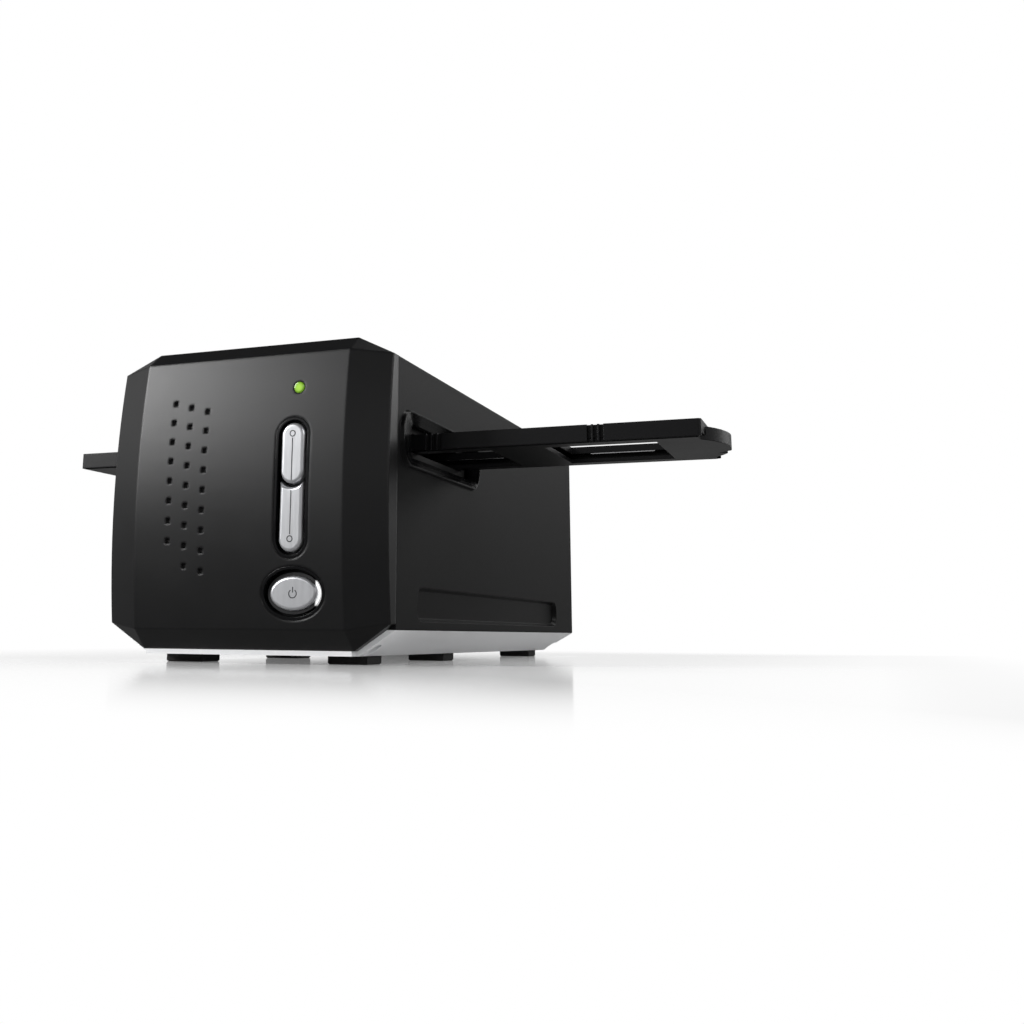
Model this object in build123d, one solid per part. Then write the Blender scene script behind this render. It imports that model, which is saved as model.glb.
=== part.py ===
"""Desktop 35 mm film scanner with a four-bay slide holder through its side slots.

Millimetres, +Z up, +X to the right seen from the front, +Y to the back. The origin is the centre
of the scanner body's footprint, on the plane that the feet stand on.
"""
from build123d import *
from math import cos, pi, sin
import os

# ---------------------------------------------------------------- casing
body_width = 117.0
body_depth = 272.0
body_height = 120.0
wall = 2.4
shell_gap = 0.15
edge_round = 1.0
foot_height = 3.2
tray_height = 9.3
shoulder_run = 15.0
shoulder_drop = 7.5
keel_run = 14.5
tray_back_run = 8.0

# ---------------------------------------------------------------- front bezel
bezel_depth = 14.7
flange_depth = 3.2
face_bow = 5.0
lip_height = 1.8
keel_drop = 9.7
panel_side = 15.0
panel_top = 6.0
panel_foot = 7.3
spigot_length = 4.0
spigot_wall = 1.5

# ---------------------------------------------------------------- grille of square dimples
dimple = 1.9
dimple_depth = 1.1
dimple_pitch = 7.5
dimple_column_pitch = 7.25
dimple_stagger = 1.95
dimple_first = (-28.9, 97.3)
dimple_rows = (8, 9, 9)

# ---------------------------------------------------------------- buttons and lights on the front
button_x = 22.8
button_width = 9.4
button_top = 86.8
button_length = 22.4
button_split = 1.3
button_foot = 39.7
button_travel = 1.0
surround_rim = 1.0
surround_gap = 1.2
surround_floor = 1.8
recess_depth = 4.0
cap_sink = 0.2
cap_clearance = 0.12
cap_flange = 1.0
cap_flange_thickness = 1.2
cap_edge_round = 1.3
stem_radius = 1.5
power_x = 23.6
power_z = 25.2
power_width = 18.8
power_height = 12.4
power_ring = 1.1
power_round = 1.2
power_sink = 1.4
power_recess = 3.0
lens_x = 24.0
lens_z = 100.3
lens_radius = 2.1
lens_length = 5.0
led_radius = 1.5
led_length = 3.0

# ---------------------------------------------------------------- front switch board
board_thickness = 1.6
switch_side = 6.0
switch_height = 3.5
plunger_radius = 1.7
plunger_height = 0.5
switch_slack = 0.1
board_margin = 11.0
bezel_boss_radius = 2.6
front_screw_length = 4.8

# ---------------------------------------------------------------- film path
film_inset = 68.0
film_z = 80.4
slot_width = 71.0
slot_height = 13.0
slot_sag = 3.6
scoop_front = 15.0
scoop_back = 1.2
scoop_top = 3.0
scoop_foot = 4.0
scoop_depth = 1.7
scoop_rim = 1.5
scoop_rim_width = 1.6
scoop_corner = 8.0
slot_corner = 1.5
slot_frame = 2.0

# ---------------------------------------------------------------- slide holder
bay_count = 4
bay_pitch = 63.0
bay_at_axis = 1
bay_window = 42.0
slide_side = 50.4
slide_thickness = 2.2
holder_end = 17.0
holder_width = 57.0
holder_height = 6.6
holder_plate = 1.6
holder_setback = 1.3
holder_gap = 0.3
notch_width = 1.5
notch_ridge = 0.8
notch_depth = 1.4
notch_count = 3
handle_reach = 7.0
handle_width = 44.0
handle_height = 5.0
handle_notch = 9.0
detent_pocket = 1.5
detent_length = 24.0
detent_height = 4.0
detent_nose = 1.0
spring_thickness = 0.3
spring_length = 26.0
spring_width = 4.0

# ---------------------------------------------------------------- side grip recess
grip_front_inset = 35.0
grip_back_inset = 34.0
grip_foot = 15.7
grip_height = 12.6
grip_depth = 2.0
grip_taper = 1.2
grip_corner = 5.4

# ---------------------------------------------------------------- feet and case screws
foot_length = 16.0
foot_width = 13.0
foot_sink = 1.0
foot_inset = 23.5
foot_front_inset = 32.0
foot_middle_inset = 112.0
foot_back_inset = 28.0
screw_radius = 1.5
screw_head_radius = 2.8
screw_head_height = 1.8
screw_slack = 0.1
boss_wall = 2.0
case_screw_length = 14.0
case_screw_inset = 8.6
case_screw_front = 5.7
case_screw_back = 6.2
small_screw_radius = 1.0
small_head_radius = 1.9
small_head_height = 1.0

# ---------------------------------------------------------------- chassis, rods and carriage
chassis_floor = 14.0
chassis_sheet = 2.0
chassis_margin = 5.5
chassis_gap = 0.4
chassis_front_inset = 26.0
chassis_back_inset = 10.0
guide_leg = 2.5
end_wall_height = 32.0
rod_z = 34.0
rod_spacing = 42.0
rod_radius = 3.0
rod_fit = 0.05
rod_rest = 1.0
scan_travel = 38.0
carriage_front_inset = 70.0
carriage_back_inset = 24.0
carriage_half = 27.0
carriage_floor = 26.0
carriage_height = 30.0
carriage_wall = 2.0
carriage_play = 0.4
bush_length = 12.0
bush_wall = 1.5
mirror_thickness = 3.0
mirror_length = 33.0
lens_centre_y = 26.0
optic_z = 43.0
barrel_radius = 11.0
barrel_length = 30.0
glass_radius = 8.0
glass_thickness = 4.0
sensor_width = 34.0
sensor_height = 9.0
sensor_thickness = 3.0
scan_slit = 6.0
slit_half = 20.0
flag_thickness = 1.2

# ---------------------------------------------------------------- belt drive
drive_inset = 13.2
pulley_inset = 44.0
tooth_module = 0.6
tooth_head = 0.85
tooth_foot = 1.15
tooth_tip_share = 0.11
tooth_root_share = 0.34
pinion_teeth = 14
gear_teeth = 42
gear_face = 4.5
gear_lift = 1.0
pulley_radius = 6.0
pulley_face = 6.0
pulley_flange = 1.0
pulley_lip = 1.5
belt_thickness = 1.2
belt_width = 5.0
belt_gap = 0.15
axle_radius = 1.5
bearing_gap = 0.05
motor_radius = 13.4
motor_height = 19.0
motor_plate = 1.5
motor_shaft_radius = 1.0
motor_gap = 1.0
tension_wire = 0.5
tension_coil = 2.4
tension_turns = 8

# ---------------------------------------------------------------- lamp above the film
lamp_width = 64.0
lamp_depth = 62.0
lamp_roof_gap = 7.9
lamp_wall = 2.0
guide_sheet = 2.2
guide_air = 0.5
lamp_window = 46.0
diffuser_thickness = 2.0
led_side = 3.0
led_rows = 3

# ---------------------------------------------------------------- main board and sockets
main_board_z = 64.0
main_board_front = 2.0
main_board_gap = 0.6
standoff_radius = 2.1
standoff_inset = 3.6
standoff_front_inset = 6.0
standoff_back_inset = 62.0
standoff_screw = 9.0
socket_x = -22.0
jack_x = 18.0
usb_width = 12.0
usb_height = 11.0
usb_depth = 16.0
usb_tongue = (5.6, 3.2)
jack_width = 9.0
jack_height = 11.0
jack_depth = 14.0
jack_bore = 3.2
jack_pin = 1.0
ribbon_thickness = 0.4
ribbon_width = 14.0

# ---------------------------------------------------------------- places worked out from the above
half_width = body_width / 2
y_back = body_depth / 2
y_front = -y_back
y_seam = y_front + bezel_depth
y_flange = y_seam - flange_depth
seam_z = foot_height + tray_height
bezel_foot = foot_height + lip_height
bezel_middle = (body_height + bezel_foot) / 2
bezel_half_height = (body_height - bezel_foot) / 2
inner_half = half_width - wall
tray_top_floor = foot_height + wall
film_y = y_front + film_inset
holder_top = film_z + holder_height
holder_near = film_y - holder_width / 2
holder_far = film_y + holder_width / 2
bay_span = bay_pitch * (bay_count - 1)
holder_left = -bay_pitch * bay_at_axis - bay_window / 2 - holder_end
holder_right = holder_left + bay_span + bay_window + 2 * holder_end
slot_foot = film_z - slot_sag
guide_floor = film_z - holder_gap - guide_sheet
guide_roof = holder_top + guide_air
y_board = y_seam
chassis_half = half_width - scoop_depth - wall - chassis_gap
guide_leg_x = chassis_half - guide_leg
chassis_front = y_front + chassis_front_inset
chassis_back = y_back - chassis_back_inset
carriage_front = y_front + carriage_front_inset
carriage_back = y_back - carriage_back_inset
drive_x = chassis_half - drive_inset
gear_y = y_back - pulley_inset
idler_y = y_front + pulley_inset
lamp_height = body_height - wall - lamp_roof_gap - guide_roof - guide_sheet
main_board_half = inner_half - main_board_gap
grip_front = y_front + grip_front_inset
grip_back = y_back - grip_back_inset
foot_x = half_width - foot_inset
foot_rows = (y_front + foot_front_inset, y_front + foot_middle_inset, y_back - foot_back_inset)
case_screw_x = inner_half - case_screw_inset
case_screw_rows = (y_seam + case_screw_front, y_back - case_screw_back)


def bow(z):
    """How far the front swells forward of its edges at a height."""
    return face_bow * (1 - ((z - bezel_middle) / bezel_half_height) ** 2)


def face_y(z):
    """The y of the front panel's surface at a height."""
    return y_front + face_bow - bow(z)


# ---------------------------------------------------------------- small shapes
def block(x, y, z):
    """A box between two x, two y and two z."""
    size = [b - a for a, b in (x, y, z)]
    middle = [(a + b) / 2 for a, b in (x, y, z)]
    return Pos(*middle) * Box(*size)


def along_x(sketch, x0, x1):
    """A sketch drawn in y and z, drawn out from x0 to x1."""
    return extrude(Plane.YZ.offset(x0) * sketch, x1 - x0)


def along_y(sketch, y0, y1):
    """A sketch drawn in x and z, drawn out from y0 to y1."""
    return extrude(Plane.XZ.offset(-y1) * sketch, y1 - y0)


def along_z(sketch, z0, z1):
    """A sketch drawn in x and y, drawn out from z0 to z1."""
    return extrude(Plane.XY.offset(z0) * sketch, z1 - z0)


def post_y(x, z, radius, y0, y1):
    return along_y(Pos(x, z) * Circle(radius), y0, y1)


def post_z(x, y, radius, z0, z1):
    return along_z(Pos(x, y) * Circle(radius), z0, z1)


def polygon(points):
    return make_face(Polyline(*points, close=True))


def cut_plane(a, b, c, inside):
    """The plane through three points that faces away from a point inside the solid."""
    normal = (Vector(*b) - Vector(*a)).cross(Vector(*c) - Vector(*a))
    if normal.dot(Vector(*inside) - Vector(*a)) > 0:
        normal = -normal
    return Plane(origin=a, z_dir=normal)


def screw_up(x, y, seat, length):
    """A pan-head case screw from below, its head under the height seat."""
    head = post_z(x, y, screw_head_radius, seat - screw_head_height, seat)
    return head + post_z(x, y, screw_radius, seat, seat + length)


def screw_down(x, y, seat, length):
    """A pan-head case screw whose head sits on the height seat."""
    head = post_z(x, y, screw_head_radius, seat, seat + screw_head_height)
    return head + post_z(x, y, screw_radius, seat - length, seat)


def small_screw_down(x, y, seat, length):
    """A small pan-head screw whose head sits on the height seat."""
    head = post_z(x, y, small_head_radius, seat, seat + small_head_height)
    return head + post_z(x, y, small_screw_radius, seat - length, seat)


# ---------------------------------------------------------------- casing shells
def casing_section(inset):
    """The whole casing's outline seen along y: shoulders at the top, keels at the foot."""
    outline = polygon([(half_width, seam_z), (half_width, body_height - shoulder_drop),
                       (half_width - shoulder_run, body_height), (shoulder_run - half_width, body_height),
                       (-half_width, body_height - shoulder_drop), (-half_width, seam_z),
                       (keel_run - half_width, foot_height), (half_width - keel_run, foot_height)])
    if inset > 0:
        outline = offset(outline, -inset, kind=Kind.INTERSECTION)
    return outline


def casing_block(inset, y0, y1):
    solid = along_y(casing_section(inset), y0, y1)
    if inset == 0:
        long_edges = solid.edges().filter_by(Axis.Y)
        solid = fillet(long_edges, edge_round)
    return solid


def slot_opening(side, grow, depth0, depth1):
    """The holder slot's straight opening through one side wall, grown all round."""
    y0 = film_y - slot_width / 2
    outline = RectangleRounded(slot_width + 2 * grow, slot_height + 2 * grow, slot_corner + grow)
    placed = Pos(y0 + slot_width / 2, slot_foot + slot_height / 2) * outline
    x_in, x_out = sorted((side * (half_width - depth1), side * (half_width - depth0)))
    return along_x(placed, x_in, x_out)


def scoop_outline(grow=0.0):
    """The outline of a slot's dished surround: wide and round to the front."""
    length = scoop_front + slot_width + scoop_back
    height = scoop_foot + slot_height + scoop_top
    mid_y = film_y - slot_width / 2 - scoop_front + length / 2
    mid_z = slot_foot - scoop_foot + height / 2
    return Pos(mid_y, mid_z) * RectangleRounded(length + 2 * grow, height + 2 * grow, scoop_corner + grow)


def slot_scoop(side):
    """The dish that leads into a slot, from its rim down to the slot's own outline."""
    inner = Pos(film_y, slot_foot + slot_height / 2) * RectangleRounded(slot_width, slot_height, slot_corner)
    floor = Plane.YZ.offset(side * (half_width - scoop_depth)) * inner
    mouth = Plane.YZ.offset(side * (half_width + scoop_rim)) * scoop_outline()
    return loft([floor, mouth], ruled=True)


def slot_rim(side):
    """The raised rim round a slot's dish, which slants back to the side wall."""
    foot = Plane.YZ.offset(side * (half_width - wall / 2)) * scoop_outline(scoop_rim_width)
    crest = Plane.YZ.offset(side * (half_width + scoop_rim)) * scoop_outline(scoop_rim_width / 4)
    return loft([foot, crest], ruled=True)


def grip_pocket(side):
    """The long shallow recess low on each side."""
    length = grip_back - grip_front
    placed = Pos((grip_back + grip_front) / 2, grip_foot + grip_height / 2)
    outer = placed * RectangleRounded(length, grip_height, grip_corner)
    inner = placed * RectangleRounded(length - 2 * grip_taper, grip_height - 2 * grip_taper,
                                      grip_corner - grip_taper)
    mouth = Plane.YZ.offset(side * half_width) * outer
    floor = Plane.YZ.offset(side * (half_width - grip_depth)) * inner
    return loft([floor, mouth], ruled=True)


def top_cover():
    """The black shell over the top and both sides, open to the front, back and foot."""
    above = block((-body_width, body_width), (y_front, y_back), (seam_z, 2 * body_height))
    outer = casing_block(0, y_seam, y_back) & above
    hollow = casing_block(wall, y_seam - wall, y_back + wall)
    shell = outer - hollow
    for side in (-1, 1):
        shell += slot_opening(side, slot_frame + scoop_foot, wall / 2, scoop_depth + wall)
        shell += grip_back_wall(side)
        shell += slot_rim(side)
    for side in (-1, 1):
        shell -= slot_scoop(side)
        shell -= slot_opening(side, 0, 0, scoop_depth + 2 * wall)
        shell -= grip_pocket(side)
    for x, y in case_screw_places():
        shell += cover_boss(x, y)
        shell -= post_z(x, y, screw_radius + screw_slack, 0, seam_z + case_screw_length)
    return shell


def grip_back_wall(side):
    """The wall's inward step behind the grip recess."""
    x_in, x_out = sorted((side * (half_width - grip_depth - wall), side * (half_width - wall / 2)))
    return block((x_in, x_out), (grip_front - wall, grip_back + wall),
                 (grip_foot - wall, grip_foot + grip_height + wall))


def case_screw_places():
    return [(side * case_screw_x, y) for side in (-1, 1) for y in case_screw_rows]


def cover_boss(x, y):
    """A screw boss inside the cover, tied to its side wall by a web."""
    side = 1 if x > 0 else -1
    foot = seam_z + shell_gap
    top = seam_z + case_screw_length + wall
    boss = post_z(x, y, screw_radius + boss_wall, foot, top)
    x_in, x_out = sorted((x, side * (half_width - wall / 2)))
    return boss + block((x_in, x_out), (y - wall / 2, y + wall / 2), (foot, top))


def tray_form():
    """The casing's outer form with its slanted foot at the back."""
    form = casing_block(0, y_seam, y_back)
    back_cut = polygon([(y_back - tray_back_run, foot_height), (y_back, seam_z),
                        (y_back + wall, seam_z), (y_back + wall, 0), (y_back - tray_back_run, 0)])
    return form - along_x(back_cut, -body_width, body_width)


def base_tray():
    """The light tray that closes the foot and shows as the band under the black cover."""
    form = tray_form()
    tray = form & block((-body_width, body_width), (y_front, y_back), (0, seam_z))
    tray -= along_y(casing_section(wall), y_seam - wall, y_back - tray_back_run - wall)
    tray += block((keel_run - half_width + edge_round, half_width - keel_run - edge_round),
                  (y_flange, y_seam + wall), (foot_height, bezel_foot))
    for x, y in chassis_posts():
        tray += post_z(x, y, screw_radius + boss_wall, foot_height, chassis_floor) & form
        tray -= post_z(x, y, screw_radius + screw_slack, tray_top_floor, chassis_floor)
    for x, y in case_screw_places():
        tray += post_z(x, y, screw_head_radius + boss_wall, foot_height, seam_z) & form
        tray -= post_z(x, y, screw_radius + screw_slack, 0, seam_z)
        tray -= post_z(x, y, screw_head_radius + screw_slack, 0, seam_z - wall)
    for x, y in foot_places():
        tray -= foot_block(x, y)
    return tray


def foot_block(x, y):
    return block((x - foot_length / 2, x + foot_length / 2), (y - foot_width / 2, y + foot_width / 2),
                 (0, foot_height + foot_sink))


def foot_places():
    return [(side * foot_x, y) for side in (-1, 1) for y in foot_rows]


def rubber_feet():
    """Six oblong pads let into the tray."""
    pads = []
    for x, y in foot_places():
        pads.append(chamfer(foot_block(x, y).edges().group_by(Axis.Z)[0], foot_sink / 2))
    return Compound(children=pads)


def case_screws():
    """Four long screws from below, through the tray into the cover."""
    return Compound(children=[screw_up(x, y, seam_z - wall, case_screw_length)
                              for x, y in case_screw_places()])


# ---------------------------------------------------------------- front bezel
def bezel_profile(inset):
    """The bezel seen along x: a swelling face between a top bevel and a foot bevel."""
    top, foot = body_height - inset, bezel_foot + inset
    panel_head, panel_sill = top - panel_top, foot + panel_foot
    back, edge = y_seam + inset, y_flange + inset
    face = ThreePointArc((face_y(panel_sill) + inset, panel_sill),
                         (face_y(bezel_middle) + inset, bezel_middle),
                         (face_y(panel_head) + inset, panel_head))
    rest = Polyline(face @ 1, (edge, top), (back, top), (back, foot), (edge, foot), face @ 0)
    return make_face([face, rest])


def side_bevel_cutter(inset, side):
    """What lies in front of one side bevel, which swells forward with the face."""
    edge_x = half_width - inset
    bevel_depth = bezel_depth - flange_depth - face_bow
    edge_y = y_flange + inset
    reach = body_depth
    swell = ThreePointArc((edge_y, bezel_foot), (edge_y - face_bow, bezel_middle), (edge_y, body_height))
    ahead = Polyline(swell @ 1, (edge_y, 2 * body_height), (edge_y - reach, 2 * body_height),
                     (edge_y - reach, -body_height), (edge_y, -body_height), swell @ 0)
    start = Plane.YZ.offset(side * edge_x) * make_face([swell, ahead])
    lean = Vector(-side * panel_side, -bevel_depth, 0)
    outward = extrude(start, lean.length, dir=-lean)
    return outward + extrude(start, 2 * lean.length, dir=lean)


def bezel_block(inset):
    """The bezel's solid form, shrunk by an inset for the hollow behind its skin."""
    section = polygon([(half_width, bezel_foot + keel_drop), (half_width, body_height - shoulder_drop),
                       (half_width - shoulder_run, body_height), (shoulder_run - half_width, body_height),
                       (-half_width, body_height - shoulder_drop), (-half_width, bezel_foot + keel_drop),
                       (keel_run - half_width, bezel_foot), (half_width - keel_run, bezel_foot)])
    if inset > 0:
        section = offset(section, -inset, kind=Kind.INTERSECTION)
    solid = along_y(section, y_front - bezel_depth, y_seam + inset)
    solid &= along_x(bezel_profile(inset), -body_width, body_width)
    for side in (-1, 1):
        solid -= side_bevel_cutter(inset, side)
    for side in (-1, 1):
        for top in (True, False):
            solid = split(solid, bisect_by=corner_plane(inset, side, top), keep=Keep.BOTTOM)
    return solid


def corner_plane(inset, side, top):
    """The facet from an inner panel corner to the two ends of an outer corner cut."""
    if top:
        panel_z = body_height - panel_top
        cut_end, cut_side = (shoulder_run, body_height), (0, body_height - shoulder_drop)
    else:
        panel_z = bezel_foot + panel_foot
        cut_end, cut_side = (keel_run, bezel_foot), (0, bezel_foot + keel_drop)
    back = Vector(0, inset * 2, 0)
    inner = Vector(side * (half_width - panel_side), face_y(panel_z), panel_z) + back
    end = Vector(side * (half_width - cut_end[0]), y_flange, cut_end[1]) + back
    flank = Vector(side * (half_width - cut_side[0]), y_flange - bow(cut_side[1]), cut_side[1]) + back
    return cut_plane(inner, end, flank, (0, y_seam, bezel_middle))


def pill(width, z0, z1, grow=0.0):
    """An upright stadium between two heights, grown all round."""
    return Pos(button_x, (z0 + z1) / 2) * SlotOverall(z1 - z0 + 2 * grow, width + 2 * grow, rotation=90)


def surround_outline(grow=0.0):
    """The outline of the pill-shaped button recess."""
    rim = surround_rim + surround_gap
    return pill(button_width + 2 * rim, button_foot - rim, button_top + rim, grow)


def power_outline(grow=0.0):
    """The outline of the round power button's ring, grown all round."""
    return Pos(power_x, power_z) * Ellipse(power_width / 2 + grow, power_height / 2 + grow)


def power_rim():
    return power_ring + surround_gap


def front_bezel():
    """The octagonal front shell with its bevels, grille dimples and openings."""
    skin = bezel_block(0)
    solid = skin - bezel_block(wall)
    solid -= along_y(surround_outline(shell_gap), y_front - wall, y_flange)
    solid -= along_y(power_outline(power_rim() + surround_rim + shell_gap), y_front - wall, y_flange)
    solid -= post_y(lens_x, lens_z, lens_radius + shell_gap, y_front - wall, y_flange)
    for x, z in dimple_places():
        y = face_y(z)
        solid -= block((x - dimple / 2, x + dimple / 2), (y - dimple_depth, y + dimple_depth),
                       (z - dimple / 2, z + dimple / 2))
    solid += spigot()
    for x, z in board_posts():
        solid += post_y(x, z, bezel_boss_radius, face_y(z) + wall / 2, y_board)
        solid -= post_y(x, z, small_screw_radius + screw_slack, y_board - front_screw_length, y_board)
    return solid


def dimple_places():
    places = []
    for column, rows in enumerate(dimple_rows):
        x = dimple_first[0] + column * dimple_column_pitch
        top = dimple_first[1] - column * dimple_stagger
        places += [(x, top - row * dimple_pitch) for row in range(rows)]
    return places


def spigot():
    """The thin ring at the bezel's back that seats inside the cover and tray."""
    outline = casing_section(wall + shell_gap)
    inner = casing_section(wall + shell_gap + spigot_wall)
    ring = along_y(outline, y_seam, y_seam + spigot_length) - along_y(inner, y_seam, y_seam + spigot_length)
    above_lip = block((-body_width, body_width), (y_front, y_back), (seam_z + wall, 2 * body_height))
    ring &= above_lip
    web = along_y(casing_section(wall / 2), y_seam - wall, y_seam)
    web -= along_y(inner, y_seam - wall, y_seam)
    return ring + (web & above_lip & bezel_block(0))


# ---------------------------------------------------------------- buttons
def button_surround():
    """The black pill-shaped cup that guides both scan buttons."""
    front = face_y(bezel_middle) + cap_sink
    floor = front + recess_depth
    cup = along_y(surround_outline(), front, floor + surround_floor)
    cup -= along_y(surround_outline(-surround_rim), front, floor)
    flange_y = face_y(bezel_middle) + wall + shell_gap * 2
    flange = along_y(surround_outline(surround_rim), flange_y, flange_y + surround_floor)
    flange -= along_y(surround_outline(-surround_rim), flange_y, floor)
    swell = along_x(bezel_profile(wall + shell_gap), -body_width, body_width)
    flange &= swell
    cup += flange
    for cap in (upper_cap(cap_clearance), lower_cap(cap_clearance)):
        cup -= along_y(cap, front, floor + surround_floor)
    front_face = along_x(bezel_profile(0), -body_width, body_width)
    return cup & front_face


def upper_cap(grow=0.0):
    """The upper button's outline: a full stadium."""
    return pill(button_width, button_top - button_length, button_top, grow)


def lower_cap(grow=0.0):
    """The lower button's outline: round at the foot, hollowed at the top to follow the upper one."""
    hollow_z = button_top - button_length + button_width / 2
    whole = pill(button_width, button_foot, hollow_z + button_width, grow)
    bite = Pos(button_x, hollow_z) * Circle(button_width / 2 + button_split - grow)
    above = Pos(button_x, hollow_z + button_length / 2) * Rectangle(2 * button_width, button_length)
    return whole - bite - above


def cap_body(outline, outline_flange, crown_y, stem_x, stem_z):
    """A button: its cap, the flange that keeps it in its guide and the stem to its switch."""
    floor_back = face_y(bezel_middle) + cap_sink + recess_depth + surround_floor
    flange_front = floor_back + switch_slack
    body = along_y(outline, crown_y, flange_front)
    body = fillet(body.edges().group_by(Axis.Y)[0], cap_edge_round)
    body += along_y(outline_flange, flange_front, flange_front + cap_flange_thickness)
    stem_back = plunger_front() - button_travel - switch_slack
    return body + post_y(stem_x, stem_z, stem_radius, flange_front, stem_back)


def plunger_front():
    """The y of a switch plunger's tip."""
    return y_board - switch_height - plunger_height


def scan_button_upper():
    z = button_top - button_length / 2
    flange = pill(button_width, button_top - button_length + button_split / 2, button_top, cap_flange)
    return cap_body(upper_cap(), flange, y_front + cap_sink, button_x, z)


def scan_button_lower():
    z = (button_foot + button_top - button_length) / 2
    flange_top = button_top - button_length - button_split
    flange = pill(button_width, button_foot, flange_top - cap_flange, cap_flange)
    return cap_body(lower_cap(), flange, y_front + cap_sink, button_x, z)


def power_floor():
    """The y of the floor of the power button's cup."""
    return face_y(power_z) + power_sink + power_recess


def power_surround():
    """The black oval cup round the power button."""
    floor = power_floor()
    back = floor + surround_floor
    grow = power_rim() + surround_rim
    cup = along_y(power_outline(grow), y_front, back)
    cup += along_y(power_outline(grow + surround_rim), face_y(power_z) + wall + face_bow / 2, back)
    cup -= along_y(power_outline(power_rim()), y_front, floor)
    cup -= along_y(power_outline(cap_clearance), floor, back)
    return cup & along_x(bezel_profile(0), -body_width, body_width)


def power_light_ring():
    """The translucent oval ring between the power button and its cup."""
    front = face_y(power_z) + power_sink
    ring = along_y(power_outline(power_ring + cap_clearance), front, power_floor())
    return ring - along_y(power_outline(cap_clearance), front, power_floor())


def power_button():
    """The oval power button with a rounded rim."""
    flange_front = power_floor() + surround_floor + switch_slack
    body = along_y(power_outline(), face_y(power_z) + power_sink - power_round, flange_front)
    body = fillet(body.edges().group_by(Axis.Y)[0], power_round)
    body += along_y(power_outline(cap_flange), flange_front, flange_front + cap_flange_thickness)
    return body + post_y(power_x, power_z, stem_radius, flange_front,
                         plunger_front() - button_travel - switch_slack)


def status_lens():
    """The small round light pipe of the ready light."""
    front = face_y(lens_z) - lens_radius / 4
    pipe = post_y(lens_x, lens_z, lens_radius, front, front + lens_length)
    pipe = fillet(pipe.edges().group_by(Axis.Y)[0], lens_radius / 4)
    collar_y = face_y(lens_z + 2 * lens_radius) + wall + shell_gap
    return pipe + post_y(lens_x, lens_z, lens_radius + surround_rim, collar_y, front + lens_length)


# ---------------------------------------------------------------- front switch board
def switch_places():
    """Where the three switches stand behind their buttons."""
    return [(button_x, button_top - button_length / 2),
            (button_x, (button_foot + button_top - button_length) / 2), (power_x, power_z)]


def board_box():
    """The switch board's left, right, foot and top."""
    right = inner_half - panel_side
    return (button_x - (right - button_x), right, power_z - board_margin, lens_z + board_margin / 2)


def board_posts():
    left, right, foot, top = board_box()
    inset = bezel_boss_radius
    return [(x, z) for x in (left + inset, right - inset) for z in (foot + inset, top - inset)]


def button_board():
    """The upright circuit board behind the front."""
    left, right, foot, top = board_box()
    board = block((left, right), (y_board, y_board + board_thickness), (foot, top))
    for x, z in board_posts():
        board -= post_y(x, z, small_screw_radius + screw_slack, y_board, y_board + board_thickness)
    return board


def board_screws():
    """Four small screws that hold the switch board to the bezel's posts."""
    screws = []
    seat = y_board + board_thickness
    for x, z in board_posts():
        head = post_y(x, z, small_head_radius, seat, seat + small_head_height)
        screws.append(head + post_y(x, z, small_screw_radius, seat - front_screw_length, seat))
    return Compound(children=screws)


def tact_switches():
    """Three square push switches, each with a round plunger."""
    switches = []
    for x, z in switch_places():
        case = block((x - switch_side / 2, x + switch_side / 2), (y_board - switch_height, y_board),
                     (z - switch_side / 2, z + switch_side / 2))
        switches.append(case + post_y(x, z, plunger_radius, plunger_front(), y_board))
    return Compound(children=switches)


def front_leds():
    """The ready light's diode and the one that lights the power ring."""
    leds = []
    for x, z in ((lens_x, lens_z), (power_x, power_z + power_height / 2 + led_radius)):
        leds.append(post_y(x, z, led_radius, y_board - led_length, y_board))
    return Compound(children=leds)


# ---------------------------------------------------------------- slide holder
def bay_centres():
    return [bay_pitch * (bay - bay_at_axis) for bay in range(bay_count)]


def holder_lower_plate():
    """The holder's lower plate: four windows and the finger handle at its right end."""
    inset = holder_setback
    plate = block((holder_left + inset, holder_right - inset), (holder_near + inset, holder_far - inset),
                  (film_z, film_z + holder_plate))
    for x in bay_centres():
        plate -= block((x - bay_window / 2, x + bay_window / 2),
                       (film_y - bay_window / 2, film_y + bay_window / 2),
                       (film_z, film_z + holder_plate))
    return plate + holder_handle()


def holder_handle():
    """A bowed finger grip that stands out beyond the holder's right end."""
    back_x = holder_right - holder_setback
    half = handle_width / 2
    outer = make_face([ThreePointArc((back_x, film_y - half), (holder_right + handle_reach, film_y),
                                     (back_x, film_y + half)),
                       Line((back_x, film_y + half), (back_x, film_y - half))])
    grip = along_z(outer, film_z, film_z + handle_height)
    clear = block((back_x, holder_right + holder_gap), (film_y - half, film_y + half),
                  (film_z + holder_plate, film_z + holder_height))
    pinch = polygon([(holder_right + handle_reach, film_y + half / 2 - handle_notch / 2),
                     (holder_right + holder_setback, film_y + half / 2),
                     (holder_right + handle_reach, film_y + half / 2 + handle_notch / 2)])
    return grip - clear - along_z(pinch, film_z, film_z + handle_height)


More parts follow.
